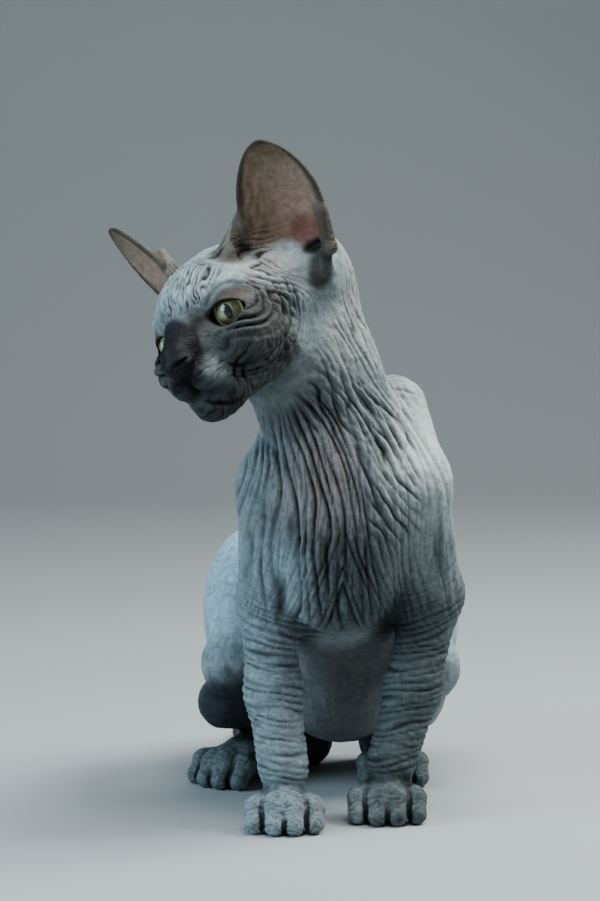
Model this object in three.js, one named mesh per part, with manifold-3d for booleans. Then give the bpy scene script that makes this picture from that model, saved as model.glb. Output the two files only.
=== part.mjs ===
// A young sphynx cat, life size, half risen on its haunches with its head turned to its right.
// Millimetres, +Z up, the cat's front towards -Y and its left side towards +X.
// The body is one smooth blend of bones and muscles, parted by thin cuts into the parts a person would name.
import * as THREE from "three";
import { mergeVertices } from "three/addons/utils/BufferGeometryUtils.js";
import Module from "manifold-3d";

const wasm = await Module();
wasm.setup();

// Driving dimensions
const CUT = 0.3; // gap between parts that touch
const EYE_RADIUS = 8.6;
const EYE_SPREAD = 18.5;
const EAR_LENGTH = 51;
const EAR_HALF_WIDTH = 21.8; // half the arc across the ear's widest place
const EAR_THICKNESS = 2;
const HEAD_TURN = 37;
const HEAD_DROP = 10;
const HEAD_TILT = 25;
const FACE_CENTRE = [-58.2, 5, 226.6];
const WRIST_CUT = 24; // height of the cut between a front leg and its paw
const HOCK_CUT = 24; // the same on the hind legs
const ELBOW_CUT = 108; // height where a front leg leaves the torso

const degrees = (angle) => (angle * Math.PI) / 180;
const add = (a, b) => [a[0] + b[0], a[1] + b[1], a[2] + b[2]];
const sub = (a, b) => [a[0] - b[0], a[1] - b[1], a[2] - b[2]];
const scale = (a, s) => [a[0] * s, a[1] * s, a[2] * s];
const dot = (a, b) => a[0] * b[0] + a[1] * b[1] + a[2] * b[2];
const cross = (a, b) => [
  a[1] * b[2] - a[2] * b[1],
  a[2] * b[0] - a[0] * b[2],
  a[0] * b[1] - a[1] * b[0],
];
const unit = (a) => scale(a, 1 / Math.hypot(...a));
const mix = (a, b, t) => a + (b - a) * t;

// Fields: distance-like functions of a point, negative inside.
// A bone is a round cone from a to b.
function bone(a, ra, b, rb) {
  const along = sub(b, a);
  const length2 = dot(along, along);
  return (p) => {
    const t = Math.min(1, Math.max(0, dot(sub(p, a), along) / length2));
    return Math.hypot(...sub(p, add(a, scale(along, t)))) - mix(ra, rb, t);
  };
}

// A muscle is an ellipsoid, pitched about the X axis so that its length runs down and back.
function muscle(centre, radii, pitch = 0) {
  const c = Math.cos(degrees(pitch));
  const s = Math.sin(degrees(pitch));
  return (p) => {
    const q = sub(p, centre);
    const local = [q[0], c * q[1] - s * q[2], s * q[1] + c * q[2]];
    const k = Math.hypot(...local.map((v, i) => v / radii[i]));
    const g = Math.hypot(...local.map((v, i) => v / radii[i] ** 2));
    return k < 1e-6 ? -Math.min(...radii) : (k * (k - 1)) / g;
  };
}

const blendPair = (a, b, k) => {
  const h = Math.max(k - Math.abs(a - b), 0) / k;
  return Math.min(a, b) - (h * h * k) / 4;
};
const blend = (k, ...fields) => (p) =>
  fields.reduce((d, f) => blendPair(d, f(p), k), 1e3);
const carve = (k, field, hollow) => (p) =>
  -blendPair(-field(p), hollow(p), k);

// Head frame: x to the cat's left, y out of the nose, z up through the crown
const turn = degrees(HEAD_TURN);
const drop = degrees(HEAD_DROP);
const tilt = degrees(HEAD_TILT);
const faceAhead = [
  -Math.sin(turn) * Math.cos(drop),
  -Math.cos(turn) * Math.cos(drop),
  -Math.sin(drop),
];
const level = unit(cross(faceAhead, [0, 0, 1]));
const square = cross(faceAhead, level);
const faceLeft = add(scale(level, -Math.cos(tilt)), scale(square, -Math.sin(tilt)));
const faceUp = cross(faceAhead, faceLeft);
const fromHead = (q) =>
  add(
    FACE_CENTRE,
    add(scale(faceLeft, q[0]), add(scale(faceAhead, q[1]), scale(faceUp, q[2]))),
  );
const toHead = (p) => {
  const q = sub(p, FACE_CENTRE);
  return [dot(q, faceLeft), dot(q, faceAhead), dot(q, faceUp)];
};
const twin = (q, side) => [side * q[0], q[1], q[2]];

// Skull, cheeks, muzzle and jaw, in the head frame
const pairs = (make) => blend(3, make(1), make(-1));
const skull = blend(
  9,
  muscle([0, -24, 3], [27, 32, 29]),
  muscle([0, -3, 9], [20, 19.5, 17.5]),
  pairs((s) => muscle([s * 21, -4, -12], [11, 17, 13])),
  pairs((s) => bone([s * 21, 5, -7], 7, [s * 27, -24, -4], 9)),
  pairs((s) => bone([s * 8, 14, -27], 7, [s * 19, -18, -20], 11)),
  pairs((s) => bone([s * 8, 17, -9], 7.5, [s * 16, 5, -13], 10)),
  pairs((s) => muscle([s * 32, -48, 6], [11, 15, 15])),
);
const muzzle = blend(
  4,
  bone([0, 9, 5], 9, [0, 26, -9], 6.8),
  bone([0, 26, -10], 6.8, [0, 29, -13], 5.8),
  pairs((s) => muscle([s * 7.2, 20, -20.5], [8.3, 10.8, 8.2])),
  muscle([0, 17, -31.5], [10, 10, 6.5]),
);
const brows = pairs((s) => bone([s * 9, 10, 9], 5, [s * 24, -2, 10], 5));
const faceForm = blend(5, blend(7, skull, muzzle), brows);

// The ear is a leaf of skin curved across its width. Its own frame: w across it towards
// the outer edge, h up to the tip, o out of its mouth.
const EARS = {
  1: { root: [28, -36, 17], lean: unit([22, 8, 45]), mouth: 36 }, // the left ear
  "-1": { root: [25, -39, 22], lean: unit([26, 11, 40]), mouth: 40 },
}; // mouth is in degrees from straight ahead, outwards
const share = (h) => Math.min(1, Math.max(0, h / EAR_LENGTH));
const earHalfArc = (h) =>
  EAR_HALF_WIDTH * (1 - share(h) ** 2.4) ** 0.62 * (1 - 0.12 * (1 - share(h)) ** 3);
const earShift = (h) => 3.5 - 5 * share(h) ** 3;
const earCurl = (h) => mix(17, 46, share(h) ** 0.8); // radius of the section
const earPoint = (side, w, h, o) => {
  const { root, lean, mouth } = EARS[side];
  const aim = [Math.sin(degrees(mouth)), Math.cos(degrees(mouth)), 0];
  const out = unit(sub(aim, scale(lean, dot(aim, lean))));
  const across = cross(out, lean);
  const at = add(scale(across, w), add(scale(lean, h), scale(out, o)));
  return fromHead(twin(add(root, at), side));
};
const EAR_WELL = muscle([35, -27, 16], [7, 7, 11]);
const hearing = (q) => EAR_WELL([Math.abs(q[0]), q[1], q[2]]);
const headInFrame = carve(3, faceForm, hearing);
const head = (p) => headInFrame(toHead(p));

// Trunk
const trunk = blend(
  16,
  muscle([2, 42, 146], [36, 42, 45], 40),
  muscle([0, 30, 118], [25, 24, 31]),
  muscle([1, 72, 118], [40, 48, 44], 40),
  muscle([0, 108, 82], [44, 44, 47], 40),
  muscle([2, 106, 51], [31, 34, 31]),
  muscle([-2, 146, 74], [36, 36, 40], 40),
  bone([2, 52, 184], 15, [0, 98, 150], 17),
  bone([0, 98, 150], 17, [0, 150, 96], 20),
);
const neck = blend(
  10,
  bone([2, 40, 165], 34, [-12, 36, 206], 28),
  bone([-12, 36, 206], 28, [-20, 40, 240], 26),
  bone([-20, 40, 240], 26, fromHead([0, -24, 0]), 24),
);

// Front legs: shoulder blade, upper arm, forearm and wrist
const FRONT = {
  right: {
    blade: [-16, 56, 184],
    shoulder: [-27, 30, 152],
    elbow: [-32, 50, 98],
    forearm: [-29, 34, 58],
    wrist: [-24.5, 20, 26],
    paw: [-24, 14, 9],
    heading: 0,
  },
  left: {
    blade: [26, 55, 186],
    shoulder: [32, 32, 154],
    elbow: [44, 50, 101],
    forearm: [35, 44, 58],
    wrist: [25, 36, 26],
    paw: [22.5, 32, 9],
    heading: 0,
  },
};
const frontLimb = (j) =>
  blend(
    8,
    bone(j.blade, 15, j.shoulder, 18),
    bone(j.shoulder, 18, j.elbow, 13),
    bone(j.elbow, 13, j.forearm, 12),
    bone(j.forearm, 12, j.wrist, 11.5),
  );

// Paws: a pad and four toes that fan out of it
const TOES = [-1.5, -0.5, 0.5, 1.5];
function paw(centre, heading, width, length) {
  const a = degrees(heading);
  const place = (side, ahead, z) => [
    centre[0] + side * Math.cos(a) - ahead * Math.sin(a),
    centre[1] - side * Math.sin(a) - ahead * Math.cos(a),
    z,
  ];
  const pad = bone(place(0, -3, 9), width * 0.3, place(0, 5, 9), width * 0.3);
  const toes = TOES.map((t) => {
    const side = (t * width) / 4.1;
    const reach = length * (Math.abs(t) > 1 ? 0.36 : 0.55);
    return blend(
      1.5,
      bone(place(side * 0.7, reach - 10, 11), 5.4, place(side, reach - 3, 11), 5.2),
      bone(place(side, reach - 3, 10), 5, place(side * 1.04, reach + 2, 4.2), 4.6),
    );
  });
  return blend(5, pad, blend(1.2, ...toes));
}
const frontPaw = (j) => paw(j.paw, j.heading, 35, 24);

// Hind legs: thigh, shank and the long foot
const HIND = {
  right: {
    hip: [-40, 118, 82],
    knee: [-47, 85, 62],
    calf: [-53, 97, 41],
    hock: [-16, 143, 30],
    heel: [-14, 143, 12],
    ball: [-44, 108, 11],
    paw: [-50, 103, 9],
    heading: 35,
  },
  left: {
    hip: [36, 118, 80],
    knee: [42, 84, 60],
    calf: [38, 98, 40],
    hock: [27, 144, 30],
    heel: [25, 145, 12],
    ball: [27, 110, 11],
    paw: [27, 105, 9],
    heading: -4,
  },
};
const hindLimb = (j) =>
  blend(
    8,
    muscle(j.hip, [24, 42, 40], 30),
    bone(j.knee, 17, j.hock, 11),
    bone(j.calf, 13, j.hock, 11),
    bone(j.hock, 11, j.heel, 11),
  );
const hindFoot = (j) =>
  blend(5, bone(j.heel, 11, j.ball, 11), paw(j.paw, j.heading, 33, 24));

// Tail: down from the rump, then curled on the floor behind the right hind foot
const TAIL = [
  [-3, 172, 76, 11],
  [0, 194, 54, 9],
  [1, 211, 26, 7.5],
  [-8, 224, 9, 6.5],
  [-25, 229, 5.6, 5.8],
  [-41, 220, 4.9, 5.1],
  [-47, 203, 4.1, 4.3],
  [-43, 186, 3.1, 3.3],
];
const tail = blend(
  4,
  ...TAIL.slice(1).map((b, i) => {
    const a = TAIL[i];
    return bone(a.slice(0, 3), a[3], b.slice(0, 3), b[3]);
  }),
);

// The whole cat, without its ears
const frontEnd = (j) => blend(5, frontLimb(j), frontPaw(j));
const neckAndTrunk = blend(14, trunk, neck);
const limbs = [
  blend(12, trunk, frontEnd(FRONT.right)),
  blend(12, trunk, frontEnd(FRONT.left)),
  blend(10, trunk, blend(8, hindLimb(HIND.right), hindFoot(HIND.right))),
  blend(10, trunk, blend(8, hindLimb(HIND.left), hindFoot(HIND.left))),
  blend(6, trunk, tail),
];
const upperBody = (p) =>
  Math.min(blendPair(neckAndTrunk(p), head(p), 10), ...limbs.map((f) => f(p)));

// A closed surface where a field is zero: one vertex in each grid cell that the surface
// crosses, moved onto the surface, and one square across each crossed grid edge.
function surfaceOf(field, low, high, step) {
  const count = [0, 1, 2].map((i) => Math.ceil((high[i] - low[i]) / step) + 1);
  const at = (i, j, k) => i + count[0] * (j + count[1] * k);
  const values = new Float64Array(count[0] * count[1] * count[2]);
  const place = (i, j, k) => [low[0] + i * step, low[1] + j * step, low[2] + k * step];
  for (let k = 0; k < count[2]; k++)
    for (let j = 0; j < count[1]; j++)
      for (let i = 0; i < count[0]; i++) {
        const rim =
          i === 0 || j === 0 || k === 0 ||
          i === count[0] - 1 || j === count[1] - 1 || k === count[2] - 1;
        values[at(i, j, k)] = rim ? step : field(place(i, j, k));
      }
  partSheets(values, count);
  const corners = [];
  for (let c = 0; c < 8; c++) corners.push([c & 1, (c >> 1) & 1, (c >> 2) & 1]);
  const cellOf = new Int32Array(values.length).fill(-1);
  const points = [];
  for (let k = 0; k + 1 < count[2]; k++)
    for (let j = 0; j + 1 < count[1]; j++)
      for (let i = 0; i + 1 < count[0]; i++) {
        const v = corners.map((c) => values[at(i + c[0], j + c[1], k + c[2])]);
        const inside = v.filter((d) => d < 0).length;
        if (inside === 0 || inside === 8) continue;
        let sum = [0, 0, 0];
        let crossings = 0;
        for (let a = 0; a < 8; a++)
          for (const bit of [1, 2, 4]) {
            const b = a | bit;
            if (b === a || v[a] < 0 === v[b] < 0) continue;
            const t = v[a] / (v[a] - v[b]);
            sum = add(sum, add(corners[a], scale(sub(corners[b], corners[a]), t)));
            crossings++;
          }
        cellOf[at(i, j, k)] = points.length;
        points.push(
          settle(field, add(place(i, j, k), scale(sum, step / crossings)), step),
        );
      }
  const index = [];
  const axes = [
    [1, 0, 0],
    [0, 1, 0],
    [0, 0, 1],
  ];
  axes.forEach((axis, n) => {
    const s = axes[(n + 1) % 3];
    const t = axes[(n + 2) % 3];
    const from = axis.map((v) => 1 - v);
    for (let k = from[2]; k + 1 < count[2]; k++)
      for (let j = from[1]; j + 1 < count[1]; j++)
        for (let i = from[0]; i + 1 < count[0]; i++) {
          const here = values[at(i, j, k)] < 0;
          const there = values[at(i + axis[0], j + axis[1], k + axis[2])] < 0;
          if (here === there) continue;
          const ring = [
            [0, 0],
            [1, 0],
            [1, 1],
            [0, 1],
          ].map(
            ([a, b]) =>
              cellOf[
                at(
                  i - a * s[0] - b * t[0],
                  j - a * s[1] - b * t[1],
                  k - a * s[2] - b * t[2],
                )
              ],
          );
          if (!here) ring.reverse();
          index.push(ring[0], ring[1], ring[2], ring[0], ring[2], ring[3]);
        }
  });
  const made = new THREE.BufferGeometry();
  made.setAttribute("position", new THREE.Float32BufferAttribute(points.flat(), 3));
  made.setIndex(index);
  return made;
}

// Where two sheets would meet along one grid edge, the faintest of the four corners
// changes side, so that every edge of the surface has two faces.
function partSheets(values, count) {
  const strides = [1, count[0], count[0] * count[1]];
  for (let pass = 0, found = 1; found && pass < 12; pass++) {
    found = 0;
    for (let n = 0; n < 3; n++) {
      const s = strides[(n + 1) % 3];
      const t = strides[(n + 2) % 3];
      for (let a = 0; a + s + t < values.length; a++) {
        const ring = [a, a + s, a + s + t, a + t];
        const [p, q, r, u] = ring.map((i) => values[i] < 0);
        if (p !== r || q !== u || p === q) continue;
        const faint = ring.reduce((m, i) =>
          Math.abs(values[i]) < Math.abs(values[m]) ? i : m,
        );
        values[faint] *= -1;
        found++;
      }
    }
  }
}

// One step down the field's own slope puts a point on the surface.
function settle(field, p, step) {
  const e = step * 0.05;
  const d = field(p);
  const slope = [0, 1, 2].map((i) => {
    const q = [...p];
    q[i] += e;
    return (field(q) - d) / e;
  });
  const steep = dot(slope, slope);
  if (steep < 0.01) return p;
  const move = Math.max(-0.5 * step, Math.min(0.5 * step, d / steep));
  return sub(p, scale(slope, move));
}

// Booleans
function solidOf(geometry) {
  const plain = geometry.clone();
  plain.deleteAttribute("normal");
  plain.deleteAttribute("uv");
  const merged = mergeVertices(plain, 1e-4);
  const corners = [...merged.index.array];
  const kept = corners.filter((_, i) => {
    const [a, b, c] = corners.slice(i - (i % 3), i - (i % 3) + 3);
    return a !== b && b !== c && c !== a;
  });
  return new wasm.Manifold(
    new wasm.Mesh({
      numProp: 3,
      vertProperties: new Float32Array(merged.attributes.position.array),
      triVerts: new Uint32Array(kept),
    }),
  );
}
// Corners on a hundredth of a millimetre, so that no sliver is left beside a cut
const SNAP = 0.01;
function snapped(solid) {
  const made = geometryOf(solid);
  const at = made.attributes.position;
  for (let i = 0; i < at.array.length; i++)
    at.array[i] = Math.round(at.array[i] / SNAP) * SNAP;
  return solidOf(made);
}
function geometryOf(solid) {
  const mesh = solid.getMesh();
  const made = new THREE.BufferGeometry();
  made.setAttribute(
    "position",
    new THREE.Float32BufferAttribute(new Float32Array(mesh.vertProperties), 3),
  );
  made.setIndex([...mesh.triVerts]);
  made.computeVertexNormals();
  return made;
}
const largest = (solid) =>
  solid.decompose().reduce((a, b) => (a.volume() > b.volume() ? a : b));
// The same surface moved outwards, for a cut that leaves a gap
function inflated(solid, by) {
  const made = geometryOf(solid);
  const at = made.attributes.position;
  const normal = made.attributes.normal;
  for (let i = 0; i < at.count; i++)
    at.setXYZ(
      i,
      at.getX(i) + by * normal.getX(i),
      at.getY(i) + by * normal.getY(i),
      at.getZ(i) + by * normal.getZ(i),
    );
  return solidOf(made);
}
const grown = (field, by) => (p) => field(p) - by;
const side = (solid, normal, through, gap = CUT / 2) =>
  solid.trimByPlane(normal, dot(normal, through) + gap);
const above = (solid, z) => side(solid, [0, 0, 1], [0, 0, z]);
const below = (solid, z) => side(solid, [0, 0, -1], [0, 0, z]);
const ontoFloor = (solid) => solid.trimByPlane([0, 0, 1], 0);
const shape = (field, low, high, step) => solidOf(surfaceOf(field, low, high, step));

// A closed sheet: rows of points, each with a front and a back, rolled up as one ring
function sheetOf(rings) {
  const points = rings.flat(2);
  const around = rings[0].length;
  const index = [];
  for (let i = 0; i + 1 < rings.length; i++)
    for (let j = 0; j < around; j++) {
      const a = i * around + j;
      const b = i * around + ((j + 1) % around);
      index.push(a, b, b + around, a, b + around, a + around);
    }
  for (let j = 1; j + 1 < around; j++) {
    index.push(0, j + 1, j);
    const last = (rings.length - 1) * around;
    index.push(last, last + j, last + j + 1);
  }
  const made = new THREE.BufferGeometry();
  made.setAttribute("position", new THREE.Float32BufferAttribute(points, 3));
  made.setIndex(index);
  return made;
}

// A tube of any section along a path; each section is a ring of points
const solidOfRings = (rings) => {
  const solid = (list) => new wasm.Manifold(
    new wasm.Mesh({
      numProp: 3,
      vertProperties: new Float32Array(sheetOf(list).attributes.position.array),
      triVerts: new Uint32Array(sheetOf(list).index.array),
    }),
  );
  const made = solid(rings);
  return made.volume() > 0 ? made : solid(rings.map((ring) => [...ring].reverse()));
};

// Materials
const skinTone = (color) =>
  new THREE.MeshStandardMaterial({ color, roughness: 0.65, metalness: 0 });
const grey = skinTone(0x8b979b);
const dark = skinTone(0x3c4146);
const earTone = skinTone(0x9a8577);
const leather = skinTone(0x23252a);
const eyeTone = new THREE.MeshStandardMaterial({
  color: 0xb5b878,
  roughness: 0.08,
  metalness: 0,
});

const cat = new THREE.Group();
function place(name, solid, material) {
  const whole = largest(snapped(largest(solid)));
  const part = new THREE.Mesh(geometryOf(whole), material);
  part.name = name;
  cat.add(part);
}

// Where the head leaves the neck, and the neck the torso
const napeNormal = sub(fromHead([0, 0.68, 0.73]), FACE_CENTRE);
const NAPE = fromHead([0, -8, -40]);
const collarNormal = unit([-0.25, -0.2, 1]);
const COLLAR = [0, 40, 193];
const flip = (v) => scale(v, -1);

// Eyes and lids
const ball = (q, radius, around = 14, rows = 9) => {
  const geometry = new THREE.SphereGeometry(radius, around, rows);
  geometry.translate(...fromHead(q));
  return solidOf(geometry);
};
const GAZE = 17; // degrees outwards
const LID = { outer: 8.4, inner: 8.6, upper: 5.6, lower: 5.6, slant: -8, shell: 1.3 };
function lidOpening(s) {
  const gaze = [Math.sin(degrees(GAZE)), Math.cos(degrees(GAZE)), 0];
  const across = [gaze[1], -gaze[0], 0];
  const c = Math.cos(degrees(LID.slant));
  const d = Math.sin(degrees(LID.slant));
  const ring = [];
  for (let i = 0; i < 20; i++) {
    const a = (i / 20) * 2 * Math.PI;
    const u = Math.cos(a) * (Math.cos(a) > 0 ? LID.outer : LID.inner);
    const v = Math.sin(a) * (1 - 0.25 * Math.cos(a) ** 2) *
      (Math.sin(a) > 0 ? LID.upper : LID.lower);
    ring.push([c * u - d * v, d * u + c * v]);
  }
  const level = (depth, size) =>
    ring.map(([u, v]) =>
      fromHead(
        twin(
          add(
            [EYE_SPREAD, 0, 0],
            add(scale(gaze, depth), add(scale(across, u * size), [0, 0, v * size])),
          ),
          s,
        ),
      ),
    );
  return solidOfRings([level(1, 0.85), level(EYE_RADIUS, 1), level(EYE_RADIUS + 9, 1.25)]);
}

// Nose leather with its nostrils, and the line of the mouth
const noseField = (p) =>
  blend(
    2,
    muscle([0, 31.4, -12.3], [6, 3.8, 3.8]),
    pairs((s) => muscle([s * 4.4, 30, -13.2], [3.7, 4, 3.4])),
    bone([0, 31.6, -14], 2.8, [0, 30.6, -17.5], 1.8),
  )(toHead(p));
const nostril = (s) =>
  shape(
    (p) => muscle([s * 5, 33.6, -12.8], [1.5, 3.4, 1.2])(toHead(p)),
    sub(fromHead([s * 5, 33.6, -12.8]), [5, 5, 5]),
    add(fromHead([s * 5, 33.6, -12.8]), [5, 5, 5]),
    0.9,
  );
const LIPS = [
  [0, 32, -17],
  [0, 31, -22],
  [3, 29, -26],
  [8, 25, -28],
  [13, 18, -29],
  [17.5, 9, -29.5],
  [21, 0, -29.5],
];
const MOUTH_CORE = [0, 8, -18];
function mouthLine(s) {
  const rings = LIPS.map((q, i) => {
    const ahead = unit(sub(LIPS[Math.min(i + 1, LIPS.length - 1)], LIPS[Math.max(i - 1, 0)]));
    const out = unit(sub(q, MOUTH_CORE));
    const wide = unit(cross(ahead, out));
    return [
      [7, 1.7],
      [7, -1.7],
      [-2.6, -0.35],
      [-2.6, 0.35],
    ].map(([depth, half]) =>
      fromHead(twin(add(q, add(scale(out, depth), scale(wide, half))), s)),
    );
  });
  return solidOfRings(rings);
}

// Ears: a front and a back face with like triangles, thinner towards a rounded rim
const EAR_ROWS = 11;
const EAR_COLUMNS = 10;
const EAR_START = -14; // below the root, inside the skull
function ear(s) {
  const rings = [];
  for (let i = 0; i <= EAR_ROWS; i++) {
    const h = mix(EAR_START, EAR_LENGTH * 0.992, (i / EAR_ROWS) ** 0.85);
    const radius = earCurl(h);
    const face = (depth) => {
      const row = [];
      for (let j = 0; j <= EAR_COLUMNS; j++) {
        const b = (2 * j) / EAR_COLUMNS - 1;
        const angle = (b * earHalfArc(h)) / radius;
        const thick = depth * EAR_THICKNESS * (0.5 - 0.22 * b ** 4);
        const r = radius + thick;
        row.push(
          earPoint(s, r * Math.sin(angle) + earShift(h), h, radius - r * Math.cos(angle)),
        );
      }
      return row;
    };
    rings.push([...face(1), ...face(-1).reverse()]);
  }
  return solidOfRings(rings);
}

// Torso, neck and head
const legRegion = {};
const thighRegion = {};
for (const name of ["left", "right"]) {
  const reach = grown(frontLimb(FRONT[name]), 4);
  legRegion[name] = shape(reach, [-80, -20, -8], [90, 110, 222], 10);
  const whole = grown(blend(8, hindLimb(HIND[name]), hindFoot(HIND[name])), 3.5);
  thighRegion[name] = shape(whole, [-95, 50, -12], [95, 185, 145], 10);
}
const tailRegion = shape(grown(tail, 3), [-80, 140, -10], [40, 250, 110], 6);
const TAIL_ROOT = [0, 179, 60];
const DOCK = [0, 1, 0]; // out of the rump

const trunkSolid = shape(upperBody, [-78, -36, -8], [78, 215, 236], 11.5);
let torso = side(trunkSolid, flip(collarNormal), COLLAR)
  .subtract(side(inflated(tailRegion, CUT), DOCK, TAIL_ROOT, -CUT / 2));
for (const name of ["left", "right"])
  torso = torso
    .subtract(
      side(inflated(legRegion[name], CUT), [0, 0, -1], [0, 0, ELBOW_CUT], -CUT / 2),
    )
    .subtract(inflated(thighRegion[name], 1.7 * CUT));
place("torso", torso, grey);

const neckSolid = shape(upperBody, [-80, -30, 165], [60, 110, 280], 8);
place(
  "neck",
  side(side(neckSolid, collarNormal, COLLAR), flip(napeNormal), NAPE),
  grey,
);

let skullSolid = side(
  shape(upperBody, [-112, -58, 170], [14, 66, 286], 5.2),
  napeNormal,
  NAPE,
);
skullSolid = side(skullSolid, collarNormal, COLLAR);
for (const s of [1, -1]) {
  const centre = [s * EYE_SPREAD, 0, 0];
  const lids = ball(centre, EYE_RADIUS + CUT + LID.shell, 20, 12);
  skullSolid = skullSolid
    .add(lids)
    .subtract(ball(centre, EYE_RADIUS + CUT, 20, 12))
    .subtract(lidOpening(s))
    .subtract(mouthLine(s));
}
const noseBox = [sub(fromHead([0, 31, -13]), [14, 14, 14]), add(fromHead([0, 31, -13]), [14, 14, 14])];
const noseSolid = shape(noseField, ...noseBox, 2.7);
skullSolid = skullSolid.subtract(inflated(noseSolid, CUT));
place("head", skullSolid, grey);
const headSkin = inflated(largest(skullSolid), CUT);
const neckSkin = inflated(
  largest(side(neckSolid, flip(napeNormal), NAPE)),
  CUT,
);
place("nose", noseSolid.subtract(nostril(1)).subtract(nostril(-1)), leather);
for (const [name, s] of [
  ["left", 1],
  ["right", -1],
]) {
  place(`eye_${name}`, ball([s * EYE_SPREAD, 0, 0], EYE_RADIUS), eyeTone);
  place(`ear_${name}`, ear(s).subtract(headSkin).subtract(neckSkin), earTone);
}

// Legs
for (const name of ["left", "right"]) {
  const j = FRONT[name];
  const whole = blend(12, trunk, frontEnd(j));
  const leg = shape(
    whole,
    [j.elbow[0] - 32, -14, 8],
    [j.elbow[0] + 30, 92, ELBOW_CUT + 12],
    5.8,
  ).intersect(legRegion[name]);
  place(`front_leg_${name}`, below(above(leg, WRIST_CUT), ELBOW_CUT), grey);
  const toes = shape(
    frontEnd(j),
    [j.paw[0] - 27.4, j.paw[1] - 30.7, -7.3],
    [j.paw[0] + 27, j.paw[1] + 36, WRIST_CUT + 8],
    4.2,
  );
  place(`front_paw_${name}`, ontoFloor(below(toes, WRIST_CUT)), grey);

  const h = HIND[name];
  const hind = shape(
    blend(10, trunk, blend(8, hindLimb(h), hindFoot(h))),
    [Math.min(h.hip[0], 0) - 52, 50, -8],
    [Math.max(h.hip[0], 0) + 52, 184, 142],
    9.5,
  ).intersect(thighRegion[name]);
  place(`hind_leg_${name}`, above(hind, HOCK_CUT), grey);
  const foot = shape(
    blend(5, hindLimb(h), hindFoot(h)),
    [Math.min(h.paw[0], h.heel[0]) - 32, h.paw[1] - 32, -7],
    [Math.max(h.paw[0], h.heel[0]) + 32, 170, HOCK_CUT + 8],
    5.1,
  );
  place(`hind_foot_${name}`, ontoFloor(below(foot, HOCK_CUT)), grey);
}

// Tail
const TAIL_CUT = 16;
const tailSolid = shape(
  blend(6, trunk, tail),
  [-72, 170, -8],
  [30, 244, 100],
  5.3,
).intersect(side(tailRegion, DOCK, TAIL_ROOT));
place("tail_root", above(tailSolid, TAIL_CUT), dark);
place("tail_end", ontoFloor(below(tailSolid, TAIL_CUT)), dark);

// The origin is the middle of the footprint, on the floor
const bounds = new THREE.Box3().setFromObject(cat);
const centre = bounds.getCenter(new THREE.Vector3());
cat.children.forEach((part) => {
  part.geometry.translate(-centre.x, -centre.y, -bounds.min.z);
});

export default cat;
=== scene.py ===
import bmesh
import bpy
import math
import numpy as np
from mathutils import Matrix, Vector


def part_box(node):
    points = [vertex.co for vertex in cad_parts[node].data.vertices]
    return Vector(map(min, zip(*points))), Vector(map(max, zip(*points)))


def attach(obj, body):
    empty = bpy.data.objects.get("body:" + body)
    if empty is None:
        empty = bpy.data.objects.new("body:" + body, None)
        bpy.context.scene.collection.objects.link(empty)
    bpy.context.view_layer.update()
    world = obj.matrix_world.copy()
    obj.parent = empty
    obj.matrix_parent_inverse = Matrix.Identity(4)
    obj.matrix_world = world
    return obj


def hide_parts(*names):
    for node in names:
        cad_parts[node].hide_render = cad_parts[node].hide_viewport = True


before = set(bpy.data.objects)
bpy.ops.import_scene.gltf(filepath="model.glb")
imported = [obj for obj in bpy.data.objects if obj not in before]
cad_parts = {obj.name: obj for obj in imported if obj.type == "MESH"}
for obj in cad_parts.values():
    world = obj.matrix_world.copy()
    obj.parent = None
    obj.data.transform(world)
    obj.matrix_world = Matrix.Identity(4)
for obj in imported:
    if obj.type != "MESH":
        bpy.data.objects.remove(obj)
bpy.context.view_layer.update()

# Where the camera stands: a little above the kitten's chest and straight in front of its body,
# far enough away that it is seen as a portrait lens sees it. Sizes are in millimetres, and the
# eyes in the solids say how far this workshop frame lies from the frame of the finished part.
FACE_CENTRE = np.array([-58.2, 5.0, 226.6])
EYE_SPREAD = 18.5
EYE_RADIUS = 8.6
HEAD_TURN, HEAD_DROP, HEAD_TILT = np.radians([37.0, 10.0, 25.0])
face_ahead = np.array([-math.sin(HEAD_TURN) * math.cos(HEAD_DROP),
                       -math.cos(HEAD_TURN) * math.cos(HEAD_DROP),
                       -math.sin(HEAD_DROP)])
level = np.cross(face_ahead, [0.0, 0.0, 1.0])
level /= np.linalg.norm(level)
square = np.cross(face_ahead, level)
face_left = -level * math.cos(HEAD_TILT) - square * math.sin(HEAD_TILT)
face_up = np.cross(face_ahead, face_left)
HEAD_AXES = np.array([face_left, face_ahead, face_up])
eye_low, eye_high = (np.array(corner) * 1000 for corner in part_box("eye_left"))
SHIFT = (eye_low + eye_high) / 2 - (FACE_CENTRE + EYE_SPREAD * face_left)

AIM = np.array([-17.0, 30.0, 169.1])
ELEVATION = math.radians(6.0)
DISTANCE = 1200.0
MM_PER_PIXEL = 0.45
PICTURE_HEIGHT = 901.0
SENSOR = 36.0
eye_line = np.array([0.0, -math.cos(ELEVATION), math.sin(ELEVATION)])
camera_data = bpy.data.cameras.new("camera")
camera_data.lens = (DISTANCE / MM_PER_PIXEL) * SENSOR / PICTURE_HEIGHT
camera_data.sensor_width = SENSOR
camera = bpy.data.objects.new("camera", camera_data)
bpy.context.scene.collection.objects.link(camera)
camera.location = Vector((AIM + SHIFT + eye_line * DISTANCE) / 1000)
camera.rotation_euler = Vector(-eye_line).to_track_quat("-Z", "Y").to_euler()
bpy.context.scene.camera = camera


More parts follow.
